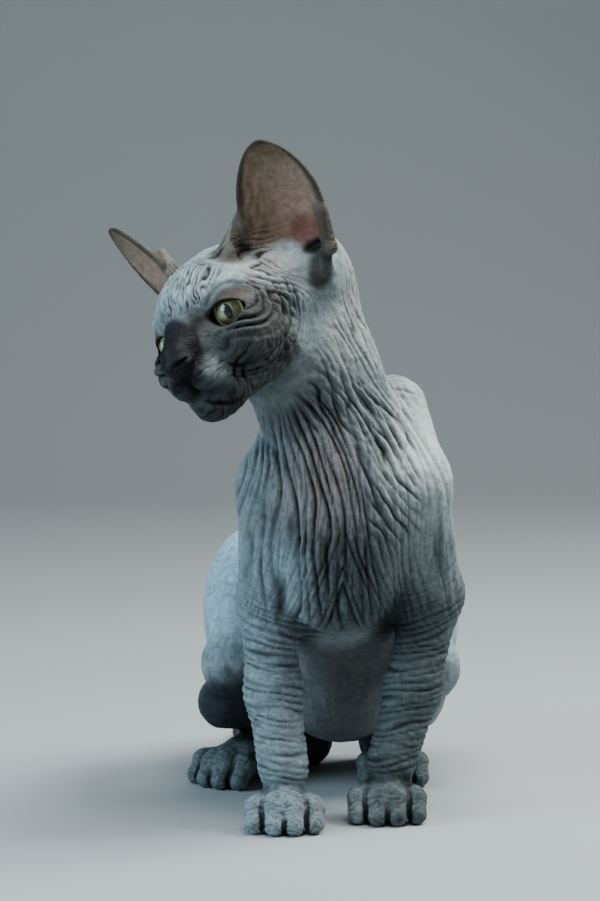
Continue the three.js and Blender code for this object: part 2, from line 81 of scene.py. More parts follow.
# The skin: one bare hide over the whole kitten, from the ear tips to the tail, drawn tight over
# the thighs and loose on the neck, chest and cheeks. It is worked out as a distance field of
# bones and muscles, wrapped in a net, and then pushed in and out into its folds.
def bone(p, a, ra, b, rb):
    """Distance to a round cone from a to b: to the nearest point of the axis, less the radius there."""
    a = np.array(a, np.float32)
    along = np.array(b, np.float32) - a
    t = np.clip(((p - a) @ along) / (along @ along), 0, 1)
    return np.linalg.norm(p - a - t[:, None] * along, axis=1) - (ra + (rb - ra) * t)


def muscle(p, centre, radii, pitch=0.0):
    """Near distance to an ellipsoid, k(k-1)/g, after it is pitched about the X axis."""
    q = p - np.array(centre, np.float32)
    if pitch:
        c, s = math.cos(math.radians(pitch)), math.sin(math.radians(pitch))
        q = np.stack([q[:, 0], c * q[:, 1] - s * q[:, 2], s * q[:, 1] + c * q[:, 2]], 1)
    r = np.array(radii, np.float32)
    k = np.linalg.norm(q / r, axis=1)
    g = np.linalg.norm(q / r ** 2, axis=1) + 1e-9
    return k * (k - 1) / g


def melt(a, b, k):
    """Smooth minimum of two fields, round over a width k."""
    h = np.maximum(k - np.abs(a - b), 0) / k
    return np.minimum(a, b) - h * h * k / 4


def meld(k, first, *rest):
    """Several fields melted one after another."""
    for field in rest:
        first = melt(first, field, k)
    return first


def cut(a, b, k):
    """Field a with field b cut out of it, and the edge rounded over k."""
    return -melt(-a, b, k)


def smooth_step(low, high, x):
    """0 below low, 1 above high, and an S between them."""
    t = np.clip((x - low) / (high - low), 0, 1)
    return t * t * (3 - 2 * t)


def fall(low, high, x):
    """1 below low, 0 above high: smooth_step taken from 1."""
    return 1 - smooth_step(low, high, x)


def span(start, full, fade, end, x):
    """1 between full and fade, 0 outside start and end: smooth_step up times fall down."""
    return smooth_step(start, full, x) * fall(fade, end, x)


def to_head(p):
    """Points in the head's frame: to the cat's left, out of the nose, up through the crown."""
    return (p - FACE_CENTRE.astype(np.float32)) @ HEAD_AXES.T.astype(np.float32)


def trunk(p):
    """Chest, brisket, belly, pelvis and the line of the back."""
    return meld(
        16,
        muscle(p, [2, 42, 146], [36, 42, 45], 40),
        muscle(p, [0, 30, 118], [25, 24, 31]),
        muscle(p, [1, 72, 118], [40, 48, 44], 40),
        muscle(p, [0, 108, 82], [44, 44, 47], 40),
        muscle(p, [2, 106, 51], [31, 34, 31]),
        muscle(p, [-2, 146, 74], [36, 36, 40], 40),
        bone(p, [2, 52, 184], 15, [0, 98, 150], 17),
        bone(p, [0, 98, 150], 17, [0, 150, 96], 20),
    )


def neck(p):
    """The neck, up to the back of the skull."""
    skull = FACE_CENTRE + np.array([0, -24, 0]) @ HEAD_AXES
    return meld(
        10,
        bone(p, [2, 40, 165], 34, [-12, 36, 206], 28),
        bone(p, [-12, 36, 206], 28, [-20, 40, 240], 26),
        bone(p, [-20, 40, 240], 26, skull, 24),
    )


LEGS = {
    "front_right": dict(blade=[-16, 56, 184], shoulder=[-27, 30, 152], elbow=[-32, 50, 98],
                        forearm=[-29, 34, 58], wrist=[-24.5, 20, 26], paw=[-24, 14], heading=0),
    "front_left": dict(blade=[26, 55, 186], shoulder=[32, 32, 154], elbow=[44, 50, 101],
                       forearm=[35, 44, 58], wrist=[25, 36, 26], paw=[22.5, 32], heading=0),
    "hind_right": dict(hip=[-40, 118, 82], knee=[-47, 85, 62], calf=[-53, 97, 41], hock=[-16, 143, 30],
                       heel=[-14, 143, 12], ball=[-44, 108, 11], paw=[-50, 103], heading=35),
    "hind_left": dict(hip=[36, 118, 80], knee=[42, 84, 60], calf=[38, 98, 40], hock=[27, 144, 30],
                      heel=[25, 145, 12], ball=[27, 110, 11], paw=[27, 105], heading=-4),
}


def toes(p, joint, width, length):
    """A pad and four toes that fan out of it, each with a knuckle and a cleft for its claw."""
    a = math.radians(joint["heading"])
    x, y = joint["paw"]

    def at(aside, ahead, z):
        return [x + aside * math.cos(a) - ahead * math.sin(a),
                y - aside * math.sin(a) - ahead * math.cos(a), z]

    field = bone(p, at(0, -3, 9), width * 0.3, at(0, 5, 9), width * 0.3)
    digits = None
    for turn in (-1.5, -0.5, 0.5, 1.5):
        aside = turn * width / 4.1
        reach = length * (0.4 if abs(turn) > 1 else 0.55)
        digit = meld(
            1.5,
            bone(p, at(aside * 0.7, reach - 10, 11), 5.4, at(aside, reach - 3, 11.2), 5.3),
            bone(p, at(aside, reach - 3, 10), 5.1, at(aside * 1.04, reach + 2, 4.4), 4.6),
        )
        claw = bone(p, at(aside * 1.04 + 0.6, reach + 7.4, 3.4), 0.5,
                    at(aside * 1.04 + 0.2, reach + 6.4, 7.0), 0.35)
        digit = cut(digit, claw, 0.9)
        digits = digit if digits is None else melt(digits, digit, 1.3)
    return melt(field, digits, 3)


def front_leg(p, joint):
    """Shoulder blade, upper arm, forearm, wrist and paw."""
    limb = meld(
        8,
        bone(p, joint["blade"], 15, joint["shoulder"], 18),
        bone(p, joint["shoulder"], 18, joint["elbow"], 13),
        bone(p, joint["elbow"], 13, joint["forearm"], 12),
        bone(p, joint["forearm"], 12, joint["wrist"], 11.5),
    )
    return melt(limb, toes(p, joint, 35, 24), 5)


def hind_leg(p, joint):
    """Thigh, shank, hock and the long foot."""
    limb = meld(
        8,
        muscle(p, joint["hip"], [24, 42, 40], 30),
        bone(p, joint["knee"], 17, joint["hock"], 11),
        bone(p, joint["calf"], 13, joint["hock"], 11),
        bone(p, joint["hock"], 11, joint["heel"], 11),
    )
    foot = melt(bone(p, joint["heel"], 11, joint["ball"], 11), toes(p, joint, 33, 24), 5)
    return melt(limb, foot, 8)


# Each joint of the tail is a place and the radius there.
TAIL = [[-3, 172, 76, 11], [0, 194, 54, 9], [1, 211, 26, 7.5], [-8, 224, 9, 6.5], [-25, 229, 5.6, 5.8],
        [-41, 220, 4.9, 5.1], [-47, 203, 4.1, 4.3], [-43, 186, 3.1, 3.3]]


def tail(p):
    """Round cones from the rump down to the floor and round behind the right foot."""
    return meld(4, *[bone(p, a[:3], a[3], b[:3], b[3]) for a, b in zip(TAIL, TAIL[1:])])


EARS = {1: dict(root=[28, -36, 17], lean=[22, 8, 45], mouth=36),
        -1: dict(root=[25, -39, 22], lean=[26, 11, 40], mouth=40)}
EAR_LENGTH, EAR_HALF_WIDTH, EAR_THICKNESS = 51.0, 22.4, 2.3


def ear_place(q, side):
    """Points in one ear's frame: around its curve, up to the tip, and out from the curved leaf."""
    ear = EARS[side]
    lean = np.array(ear["lean"], float) / np.linalg.norm(ear["lean"])
    aim = np.array([math.sin(math.radians(ear["mouth"])), math.cos(math.radians(ear["mouth"])), 0])
    out = aim - lean * (aim @ lean)
    out /= np.linalg.norm(out)
    axes = np.array([np.cross(out, lean), lean, out]).astype(np.float32)
    local = (q * np.array([side, 1, 1], np.float32) - np.array(ear["root"], np.float32)) @ axes.T
    share = np.clip(local[:, 1] / EAR_LENGTH, 0, 1)
    radius = 17 + (46 - 17) * share ** 0.8
    aside = local[:, 0] - (4.1 - 5 * share ** 3)
    deep = radius - local[:, 2]
    around = np.arctan2(aside, deep) * radius
    off = np.hypot(aside, deep) - radius
    return around, local[:, 1], off


def ear(q, side):
    """A curved leaf: thick where it leaves the skull, thin at its rounded rim."""
    around, high, off = ear_place(q, side)
    share = np.clip(high / EAR_LENGTH, 0, 1)
    half = EAR_HALF_WIDTH * (1 - share ** 2.4) ** 0.62 * (1 - 0.12 * (1 - share) ** 3)
    steep = 2.4 * 0.62 * share ** 1.4 / np.maximum(1 - share ** 2.4, 0.03) ** 0.38
    steep = steep * EAR_HALF_WIDTH / EAR_LENGTH
    rim = (np.abs(around) - half) / np.sqrt(1 + steep ** 2)
    rim = np.maximum(rim, high - EAR_LENGTH)
    rim = np.maximum(rim, -12 - high)
    thick = EAR_THICKNESS / 2 * (1 - 0.22 * smooth_step(0.3, 1.0, share))
    thick += 1.6 * fall(0, 0.3, share)
    return np.hypot(np.maximum(np.abs(off) - thick * 0.4, 0), np.maximum(rim + thick * 0.6, 0)) - thick * 0.6


GAZE = math.radians(17.0)
LID = dict(outer=8.6, inner=8.9, upper=4.9, lower=6.4, slant=math.radians(-8.0), shell=1.35)


def gaze_place(q, side):
    """Points from an eyeball's centre: across the eye, up, and out along its gaze."""
    g = (q * np.array([side, 1, 1], np.float32)) - np.array([EYE_SPREAD, 0, 0], np.float32)
    c, s = math.cos(GAZE), math.sin(GAZE)
    return g[:, 0] * c - g[:, 1] * s, g[:, 2], g[:, 0] * s + g[:, 1] * c


def lid_edge(q, side):
    """How far a point lies outside the almond between the lids, in millimetres; negative inside."""
    across, up, out = gaze_place(q, side)
    c, s = math.cos(LID["slant"]), math.sin(LID["slant"])
    u, v = across * c + up * s, up * c - across * s
    u = u / np.where(u > 0, LID["outer"], LID["inner"])
    v = v / (np.where(v > 0, LID["upper"], LID["lower"]) * (1 - 0.22 * np.minimum(u * u, 1)))
    return np.where(out > 0, (np.hypot(u, v) - 1) * 6.2, 9.0), out


LIPS = [[0, 33.5, -18.5], [0, 30.5, -22.5], [3, 27, -28.5], [6, 24, -33.5], [9.5, 18.5, -36.5],
        [14.5, 11, -37], [19, 3, -34.5]]


def head(q):
    """Skull, cheeks, muzzle, brows, nose and lids, with the mouth, nostrils and eye openings cut in."""
    skull = meld(
        9,
        muscle(q, [0, -24, 3], [27, 32, 29]),
        muscle(q, [0, -3, 9], [20, 19.5, 17.5]),
    )
    flat = np.abs(q[:, 0])
    m = np.stack([flat, q[:, 1], q[:, 2]], 1)
    skull = meld(
        9,
        skull,
        muscle(m, [21, -4, -12], [11, 17, 13]),
        bone(m, [21, 5, -7], 7, [27, -24, -4], 9),
        bone(m, [9, 10, -30], 7.5, [19, -18, -21], 11),
        bone(m, [7.5, 15, -9], 7, [16, 5, -13], 10),
        muscle(m, [32, -48, 6], [11, 15, 15]),
    )
    muzzle = meld(
        4,
        bone(q, [0, 9, 5], 9, [0, 26, -9], 6.8),
        bone(q, [0, 26, -10], 6.8, [0, 29, -13], 5.8),
        melt(muscle(q, [6.6, 18, -20.5], [7.8, 11.2, 8.2]),
             muscle(q, [-6.6, 18, -20.5], [7.8, 11.2, 8.2]), 2),
        muscle(q, [0, 15.5, -33.5], [9.8, 11, 7.6]),
    )
    brows = bone(m, [9, 10, 9], 5, [24, -2, 10], 5)
    face = melt(melt(skull, muzzle, 7), brows, 5)
    for side in (1, -1):
        across, up, out = gaze_place(q, side)
        ball = np.sqrt(across ** 2 + up ** 2 + out ** 2)
        face = melt(face, ball - EYE_RADIUS - LID["shell"], 3.5)
    nose = meld(
        2,
        muscle(q, [0, 31.4, -12.3], [6, 3.8, 3.8]),
        muscle(m, [5.2, 28.6, -12.2], [3.8, 4.8, 3.3]),
        bone(q, [0, 31.6, -14], 2.8, [0, 30.6, -17.5], 1.8),
    )
    face = melt(face, nose, 1.6)
    face = cut(face, meld(1, bone(m, [3.2, 35.6, -13.4], 1.2, [5.6, 33.6, -12.4], 1.1),
                          bone(m, [5.6, 33.4, -12.4], 0.8, [9.2, 28.6, -11.0], 0.5)), 0.7)
    line = np.minimum.reduce([bone(m, a, 0.5, b, 0.5) for a, b in zip(LIPS, LIPS[1:])])
    face = cut(face, line - 0.3, 1.5)
    for side in (1, -1):
        edge, out = lid_edge(q, side)
        across, up, ahead = gaze_place(q, side)
        ball = np.sqrt(across ** 2 + up ** 2 + ahead ** 2)
        opening = np.maximum(edge, 4.5 - ball)
        face = cut(face, opening, 0.9)
    return face


def canal(q, side):
    """The dark passage at the bottom of the ear's cup."""
    m = q * np.array([side, 1, 1], np.float32)
    return melt(muscle(m, [43.5, -35, 11.5], [5.0, 7.5, 3.0]),
                bone(m, [49, -29, 20], 4.5, [42, -34, 21], 5), 4)


def ear_folds(q, side):
    """The ridge that flares from the crown to the inner edge of the ear, and the small double flap
    low on its outer edge."""
    m = q * np.array([side, 1, 1], np.float32)
    return meld(3, bone(m, [17, -15, 25], 4.6, [27.5, -27, 42], 1.6),
                bone(m, [51, -39, 7], 3.0, [54, -39.5, 23], 0.9))


def within(p, low, high, field):
    """A field worked out only inside a box that holds its form, and 40 mm away everywhere else."""
    inside = np.all((p > low) & (p < high), axis=1)
    values = np.full(len(p), 40.0, np.float32)
    if inside.any():
        values[inside] = field(p[inside])
    return values


def kitten(p):
    """The whole body: each limb melts into the trunk by itself, so that legs and paws stay apart."""
    p = p.astype(np.float32)
    body = within(p, [-60, -20, 20], [60, 205, 215], trunk)
    whole = melt(body, within(p, [-80, -25, 110], [60, 95, 275], neck), 14)
    whole = melt(whole, within(p, [-125, -60, 165], [45, 85, 320], lambda r: head(to_head(r))), 10)
    for name, low, high in (("front_right", [-65, -35, -10], [15, 90, 215]),
                            ("front_left", [-10, -15, -10], [80, 90, 215])):
        limb = within(p, low, high, lambda r: front_leg(r, LEGS[name]))
        whole = np.minimum(whole, melt(body, limb, 12))
    for name, low, high in (("hind_right", [-100, 45, -10], [15, 180, 145]),
                            ("hind_left", [-10, 55, -10], [85, 180, 145])):
        limb = within(p, low, high, lambda r: hind_leg(r, LEGS[name]))
        whole = np.minimum(whole, melt(body, limb, 10))
    whole = np.minimum(whole, melt(body, within(p, [-75, 145, -10], [25, 250, 105], tail), 6))
    for side, low, high in ((1, [-75, -35, 200], [35, 75, 320]), (-1, [-130, -20, 200], [-20, 85, 320])):
        leaf = within(p, low, high, lambda r: melt(ear(to_head(r), side), ear_folds(to_head(r), side), 5))
        whole = melt(whole, leaf, 4.5)
        whole = cut(whole, within(p, low, high, lambda r: canal(to_head(r), side)), 1.5)
    return np.maximum(whole, 0.02 - p[:, 2])


def ladder(low, high, fine_low, fine_high, fine, coarse):
    """Grid lines from low to high: fine steps inside the fine stretch and coarse ones outside it."""
    lines = [low]
    while lines[-1] < high:
        inside = fine_low <= lines[-1] <= fine_high
        lines.append(lines[-1] + (fine if inside else coarse))
    while len(lines) % 4:
        lines.append(lines[-1] + coarse)
    return np.array(lines, np.float32)


def wrap(field, gx, gy, gz):
    """A net of squares round the field: one knot in each grid cell that the surface crosses,
    at the mean of the crossings on its edges, and one square across each crossed grid edge."""
    lines = (gx, gy, gz)
    shape = tuple(len(g) for g in lines)
    rough = [np.append(g[::4], g[-1]) for g in lines]
    grid = np.stack(np.meshgrid(*rough, indexing="ij"), -1).reshape(-1, 3)
    far = field(grid).reshape([len(r) for r in rough])
    corners = [far[a:a + far.shape[0] - 1, b:b + far.shape[1] - 1, c:c + far.shape[2] - 1]
               for a in (0, 1) for b in (0, 1) for c in (0, 1)]
    closest = np.minimum.reduce([np.abs(c) for c in corners])
    sides = [np.diff(r)[:n] for r, n in zip(rough, closest.shape)]
    reach = sides[0][:, None, None] ** 2 + sides[1][None, :, None] ** 2 + sides[2][None, None, :] ** 2
    reach = np.sqrt(reach)
    live = np.argwhere(closest < reach * 0.9)
    values = np.repeat(np.repeat(np.repeat(corners[0], 4, 0), 4, 1), 4, 2).astype(np.float32)
    steps = np.stack(np.meshgrid(range(4), range(4), range(4), indexing="ij"), -1).reshape(-1, 3)
    spots = (live[:, None, :] * 4 + steps[None]).reshape(-1, 3)
    for start in range(0, len(spots), 1500000):
        part = spots[start:start + 1500000]
        place = np.stack([lines[n][part[:, n]] for n in range(3)], 1)
        values[part[:, 0], part[:, 1], part[:, 2]] = field(place)
    inside = values < 0
    keys, points, rings = [], [], []
    for n in range(3):
        first = np.moveaxis(inside, n, 0)
        crossing = np.argwhere(np.moveaxis(first[1:] != first[:-1], 0, n))
        after = crossing.copy()
        after[:, n] += 1
        v0 = values[tuple(crossing.T)]
        v1 = values[tuple(after.T)]
        t = (v0 / (v0 - v1))[:, None]
        here = np.stack([lines[k][crossing[:, k]] for k in range(3)], 1)
        there = np.stack([lines[k][after[:, k]] for k in range(3)], 1)
        spot = here + (there - here) * t
        s, w = (n + 1) % 3, (n + 2) % 3
        ring = []
        for a, b in ((0, 0), (1, 0), (1, 1), (0, 1)):
            cell = crossing.copy()
            cell[:, s] -= a
            cell[:, w] -= b
            ring.append(np.ravel_multi_index(tuple(cell.T), shape))
            keys.append(ring[-1])
            points.append(spot)
        ring = np.stack(ring, 1)
        ring[v0 > 0] = ring[v0 > 0][:, ::-1]
        rings.append(ring)
    known, back = np.unique(np.concatenate(keys), return_inverse=True)
    back = back.reshape(-1)
    points = np.concatenate(points)
    count = np.bincount(back)
    knots = np.stack([np.bincount(back, points[:, n]) / count for n in range(3)], 1)
    return knots, np.searchsorted(known, np.concatenate(rings))


def slope(field, p, step=0.12):
    """The field's value and its gradient, by small steps along each axis."""
    here = field(p)
    steep = np.stack([(field(p + step * np.eye(3)[n]) - here) / step for n in range(3)], 1)
    return here, steep


generator = np.random.default_rng(20)
ARROWS = generator.normal(size=(256, 3))
ARROWS /= np.linalg.norm(ARROWS, axis=1)[:, None]
SHUFFLE = generator.permutation(256)


def ripple(p):
    """Gradient noise: eight random arrows at the corners of each unit cell, faded together."""
    base = np.floor(p).astype(np.int64)
    part = p - base
    fade = part ** 3 * (part * (part * 6 - 15) + 10)
    total = 0
    for corner in range(8):
        bit = np.array([corner & 1, corner >> 1 & 1, corner >> 2 & 1])
        cell = base + bit
        pick = SHUFFLE[(SHUFFLE[(SHUFFLE[cell[:, 0] & 255] + cell[:, 1]) & 255] + cell[:, 2]) & 255]
        share = np.prod(np.where(bit, fade, 1 - fade), axis=1)
        total = total + share * np.sum(ARROWS[pick] * (part - bit), axis=1)
    return total * 1.6


def crease(across, along, seed, wander=0.8, sharp=0.5, fade=0.8):
    """Folds of skin, one for each unit across: broad round ridges between narrow valleys that
    wander, join and die out along their length. 1 on a ridge, down to 0 in the deepest valley."""
    flow = np.stack([across * 0.42, along * 0.5, np.full_like(across, seed)], 1)
    loose = np.stack([across * 1.1, along * 1.2, np.full_like(across, seed + 9.5)], 1)
    phase = across + wander * 1.7 * ripple(flow) + wander * 0.55 * ripple(loose)
    blunt = 0.02
    bare = (np.sin(np.pi * phase) ** 2 + blunt) ** (sharp / 2)
    valley = np.maximum(1 - bare, 0) / (1 - blunt ** (sharp / 2))
    order = np.stack([np.round(phase) * 5.37, along * 0.9, np.full_like(across, seed + 3.3)], 1)
    depth = np.clip(0.78 + fade * ripple(order), 0.08, 1)
    return 1 - depth * valley


# The net is finest at the head, a little wider below it and widest at the back.
STEP = 1.0
FINE = 0.66 * STEP
gx = ladder(-112.0, 74.0, -107.0, 36.0, FINE, 1.0 * STEP)
gy = ladder(-42.0, 240.0, -40.0, 72.0, FINE, 1.3 * STEP)
gz = ladder(-3.0, 314.0, 186.0, 309.0, FINE, 0.95 * STEP)
knots, squares = wrap(kitten, gx, gy, gz)
for _ in range(2):
    depth, steep = slope(kitten, knots)
    size = np.maximum(np.sum(steep ** 2, axis=1), 0.25)
    knots -= np.clip(depth / size, -0.8, 0.8)[:, None] * steep
depth, steep = slope(kitten, knots)
outward = steep / np.maximum(np.linalg.norm(steep, axis=1), 1e-6)[:, None]

# The folds. Each stretch of skin has its own: rings on the legs, a fan from the throat over the
# chest, arcs round the eyes, furrows on the brow, and small knobs at the corner of the jaw.
x, y, z = knots.T
q = to_head(knots.astype(np.float32)).astype(float)
left, ahead, high = q.T
wide = np.abs(left)
eye_out = np.stack([wide - EYE_SPREAD, ahead, high], 1)
from_eye = np.linalg.norm(eye_out, axis=1)
ear_share = np.zeros(len(knots))
ear_inside = np.zeros(len(knots))
ear_around = np.zeros(len(knots))
for side in (1, -1):
    around, up_ear, off = ear_place(q.astype(np.float32), side)
    on = (np.abs(off) < 3.5) & (up_ear > -6) & (np.abs(around) < 26) & (left * side > 8)
    ahead_of = ear_place((q + 0.6 * outward @ HEAD_AXES.T).astype(np.float32), side)[2]
    ear_share[on] = np.clip(up_ear[on] / EAR_LENGTH, -0.1, 1)
    ear_inside[on] = np.where(ahead_of[on] < off[on], 1.0, -1.0)
    ear_around[on] = around[on] / EAR_HALF_WIDTH
on_leaf = (ear_inside != 0).astype(float) * smooth_step(0.02, 0.16, ear_share)
on_head = smooth_step(-64, -50, ahead + 0.8 * high) * (z > 175)

push = np.zeros(len(knots))
valley = np.zeros(len(knots))


def fold(mask, height, lines, dark=1.0):
    """Adds folds of one height where the mask is 1, and notes each point's depth in them for painted shade.
    """
    global push, valley
    push += mask * height * (lines - 0.8)
    valley = np.maximum(valley, mask * dark * (1 - lines) ** 0.85)


def spot(value, centre, width):
    """A bell of 1 at the centre that falls off over the width."""
    return np.exp(-((value - centre) / width) ** 2)


# Chest and throat: folds fan out of the throat, finer near it, and open downwards on the brisket.
front = fall(36, 58, y) * smooth_step(-0.05, 0.4, -outward[:, 1])
fan = np.arctan2(x + 34, 206 - z)
reach = np.hypot(x + 34, 206 - z)
chest = span(84, 98, 190, 206, z) * front * (1 - on_head)
middle = spot(x, -4, 27)
bend = 0.14 * np.abs(x + 4) * smooth_step(165, 120, z)
round_chest = fan * (20 + 0.5 * reach)
fold(chest * (0.45 + 0.55 * middle), 2.0, crease((round_chest + bend) / 3.7, reach / 22, 1.0, 0.55))
fold(chest * (0.5 + 0.5 * middle), 0.75,
     crease((round_chest - 0.2 * z) / 1.9, reach / 14, 5.0, 0.7, 0.6), 0.6)
brisket = span(80, 95, 128, 146, z) * front * spot(x, 4, 24)
fold(brisket, 1.7, crease((np.abs(x - 2) + 0.36 * z) / 3.3, (z - np.abs(x)) / 26, 7.0, 0.4))
network = chest * smooth_step(6, 20, x) * smooth_step(120, 140, z) * fall(30, 44, x)
fold(network, 1.5, crease((0.8 * x + 0.6 * z) / 4.2, (z - x) / 14, 13.0, 0.4))
rolls = span(172, 186, 208, 222, z) * front * spot(x - 0.75 * (200 - z), -16, 19)
fold(rolls * (1 - on_head), 2.3, crease((0.8 * x + 0.62 * (z - 200)) / 6.2, (x - z) / 16, 17.0, 0.7))
side_neck = span(182, 204, 246, 262, z) * (1 - on_head)
round_neck = np.arctan2(x + 12, 42 - y) * 32
fold(side_neck, 1.0, crease((round_neck + 0.45 * (z - 200)) / 4.6, z / 16, 11.0, 0.8), 0.75)
fold(side_neck, 0.3, crease((round_neck + 0.45 * (z - 200)) / 2.1, z / 9, 12.0, 0.9), 0.4)

# Legs: fine rings all the way down the front legs, slanting at the elbows, and wrinkled knuckles.
for name, turn_out in (("front_right", -1), ("front_left", 1)):
    wrist = LEGS[name]["wrist"]
    elbow = LEGS[name]["elbow"]
    climb = np.clip((z - wrist[2]) / (elbow[2] - wrist[2]), -0.4, 1.3)
    axis_x = wrist[0] + (elbow[0] - wrist[0]) * climb
    axis_y = wrist[1] + (elbow[1] - wrist[1]) * climb
    near = fall(19, 26, np.hypot(x - axis_x, y - axis_y))
    turn = np.arctan2(x - axis_x, axis_y - y)
    ring = near * span(15, 24, 118, 140, z)
    slant = turn_out * turn * (1.5 + 8.0 * smooth_step(72, 115, z))
    fold(ring * (1 - 0.6 * smooth_step(80, 118, z)), 0.95,
         crease((z - slant) / 3.3, turn * 0.9 + turn_out, 23.0 + turn_out, 0.42, 0.75), 0.75)
    fold(ring, 0.35, crease((z - slant) / 1.7, turn * 2.4, 27.0 + turn_out, 0.6, 0.7), 0.4)
for name in LEGS:
    px, py = LEGS[name]["paw"]
    near = fall(24, 29, np.hypot(x - px, y - py)) * fall(17, 25, z)
    fold(near, 0.3, crease((z + 0.7 * y) / 2.3, x / 3, 31.0, 0.9, 0.7), 0.6)

# Face: arcs hang round the outer side of each eye like curtains, knobs crowd the corner of the
# jaw, fine furrows stand on the brow, and shallow creases cross the muzzle.
swirl = np.arctan2(high + 1, wide - EYE_SPREAD)
lid_brown = fall(10.8, 13.2, from_eye) * smooth_step(1.5, 4.5, high) * on_head
jaw = on_head * spot(wide, 24, 9) * spot(ahead, -6, 14) * spot(high, -24, 8)
arcs = span(10.5, 12.5, 27, 35, from_eye) * on_head * (1 - 0.75 * jaw)
outer = smooth_step(-3, 6, (wide - EYE_SPREAD) - 0.35 * (high + 3)) * fall(13, 21, ahead)
outer *= (1 - lid_brown) * (1 - smooth_step(5, 10, high) * smooth_step(-9, -3, ahead))
along_arc = swirl * 2.4 + 2 * np.sign(left)
fold(arcs * outer, 2.1, crease((from_eye + 1.2 * swirl) / 2.9, along_arc, 41.0, 0.55, 0.45))
fold(arcs * outer, 0.3, crease((from_eye + 2.5 * swirl) / 1.4, swirl * 4.0, 43.0, 0.6, 0.6), 0.5)
under = arcs * smooth_step(0, 7, -high) * (1 - outer) * fall(15, 20, ahead)
fold(under, 1.1, crease(from_eye / 2.1, swirl * 2.5, 44.0, 0.8), 0.9)
temple = on_head * spot(wide, 32, 9) * spot(ahead, -17, 11) * spot(high, -1, 13)
fold(temple, 2.0, crease((0.8 * ahead - 0.5 * high) / 4.4, high / 9, 47.0, 0.8, 0.45))
fold(jaw, 2.0, crease((ahead + 0.4 * high) / 4.4, high / 4.4, 53.0, 0.8, 0.6))
fold(jaw, 1.4, crease((high - 0.4 * ahead) / 4.6, ahead / 4.0, 54.0, 0.8, 0.6))
brow = on_head * smooth_step(5, 11, high) * smooth_step(-9, 1, ahead) * fall(17, 24, wide)
brow *= (1 - spot(from_eye, 9, 4)) * (1 - lid_brown)
fold(brow, 1.4, crease(left / 1.9, high / 5, 59.0, 1.0, 0.6))
crown = on_head * smooth_step(19, 25, high) * fall(-2, 5, ahead) * fall(15, 22, wide)
fold(crown, 1.6, crease((ahead + 0.8 * wide) / 3.0, left / 7, 61.0, 0.6, 0.55))
pads = on_head * smooth_step(8, 14, ahead) * spot(high, -21, 8)
fold(pads, 0.7, crease((high + 0.25 * ahead) / 2.0, ahead / 5, 67.0, 0.9, 0.6), 0.7)
pleat = on_head * spot(high, -24, 9) * fall(2.2, 4.4, np.abs(ahead - 11.5 + 0.25 * (high + 22)))
fold(pleat * smooth_step(8, 12, wide), 1.5,
     crease((ahead + 0.25 * high) / 3.6 + 0.1, high / 8, 69.0, 0.5, 0.5))
chin = on_head * smooth_step(28, 34, -high) * smooth_step(-14, -4, ahead)
fold(chin, 0.25, crease(ahead / 2.6, left / 5, 70.0, 0.8))
root = (ear_inside != 0) * span(-0.2, -0.06, 0.16, 0.34, ear_share)
medial = fall(-0.7, 0.0, ear_around)
root *= np.maximum(medial, ear_inside < 0)
fold(root, 0.6, crease(ear_share * EAR_LENGTH / 2.2, ear_around * 3, 71.0, 0.6))

# Elsewhere the skin is nearly smooth: soft folds on the nape and flanks, and a fine unevenness.
nape = (1 - on_head) * smooth_step(150, 190, z) * smooth_step(50, 80, y)
fold(nape, 0.5, crease((z + 0.5 * y) / 5.0, x / 12, 73.0, 0.9), 0.6)
flank = span(40, 60, 120, 150, z) * span(62, 85, 130, 160, y)
fold(flank, 0.25, crease((z + 0.2 * x + 0.6 * y) / 4.6, (y - z) / 15, 79.0, 1.3), 0.3)
tail_rings = smooth_step(182, 196, y)
fold(tail_rings, 0.2, crease(np.where(z > 14, z, x) / 2.4, y / 9, 83.0, 0.6), 0.6)
push += (0.28 * ripple(knots / 3.4) + 0.12 * ripple(knots / 1.6)) * (1 - 0.8 * on_leaf)

# A crease pressed in above each eye, with painted shade along it.
lid_crease = on_head * spot(from_eye, 13.6, 0.8) * smooth_step(4, 8, high) * fall(7, 10, np.abs(wide - 18))
push -= 0.7 * lid_crease
valley = np.maximum(valley, 0.5 * lid_crease)
lid_ring = np.minimum(*[np.abs(lid_edge(q.astype(np.float32), side)[0]) for side in (1, -1)])
eye_guard = smooth_step(9.6, 11.6, from_eye) * (1 - 0.8 * lid_brown)
nose_near = smooth_step(25, 28, ahead) * fall(8, 11, wide) * smooth_step(-19, -16, high)
push *= eye_guard * (1 - 0.85 * nose_near) * (1 - on_leaf * smooth_step(0.3, 0.4, ear_share))
push *= smooth_step(0.1, 2.5, z)
valley *= eye_guard * (1 - nose_near)
# How closely other skin lies in front of each point, for the painted shade in the nooks.
shelter = np.clip(1 - kitten(knots + outward * 2.6) / 2.6, 0, 1)
paw_high = fall(14, 20, z)
knots = knots + outward * push[:, None]
knots[:, 2] = np.maximum(knots[:, 2], 0.0)


# Its colour: cold blue-grey, almost black on the muzzle and the right shank, brown to pink inside the ears,
# pink-grey down the middle of the chest. Light and shade are painted over it: painted shade in the folds,
# in the nooks, deep in the ear canals, under the chin, on the belly, the low chest and the left foreleg,
# and painted light on the haunches, the top of the neck, the left shoulder, the right foreleg, the temples
# and over the brow.
tint = np.tile(np.array([0.235, 0.285, 0.305]), (len(knots), 1))


def stain(colour, mask):
    """Mixes a colour over the skin's by a mask: the old one times 1 - mask, and the new one times mask."""
    global tint
    mask = np.clip(mask, 0, 1)[:, None]
    tint = tint * (1 - mask) + np.array(colour) * mask


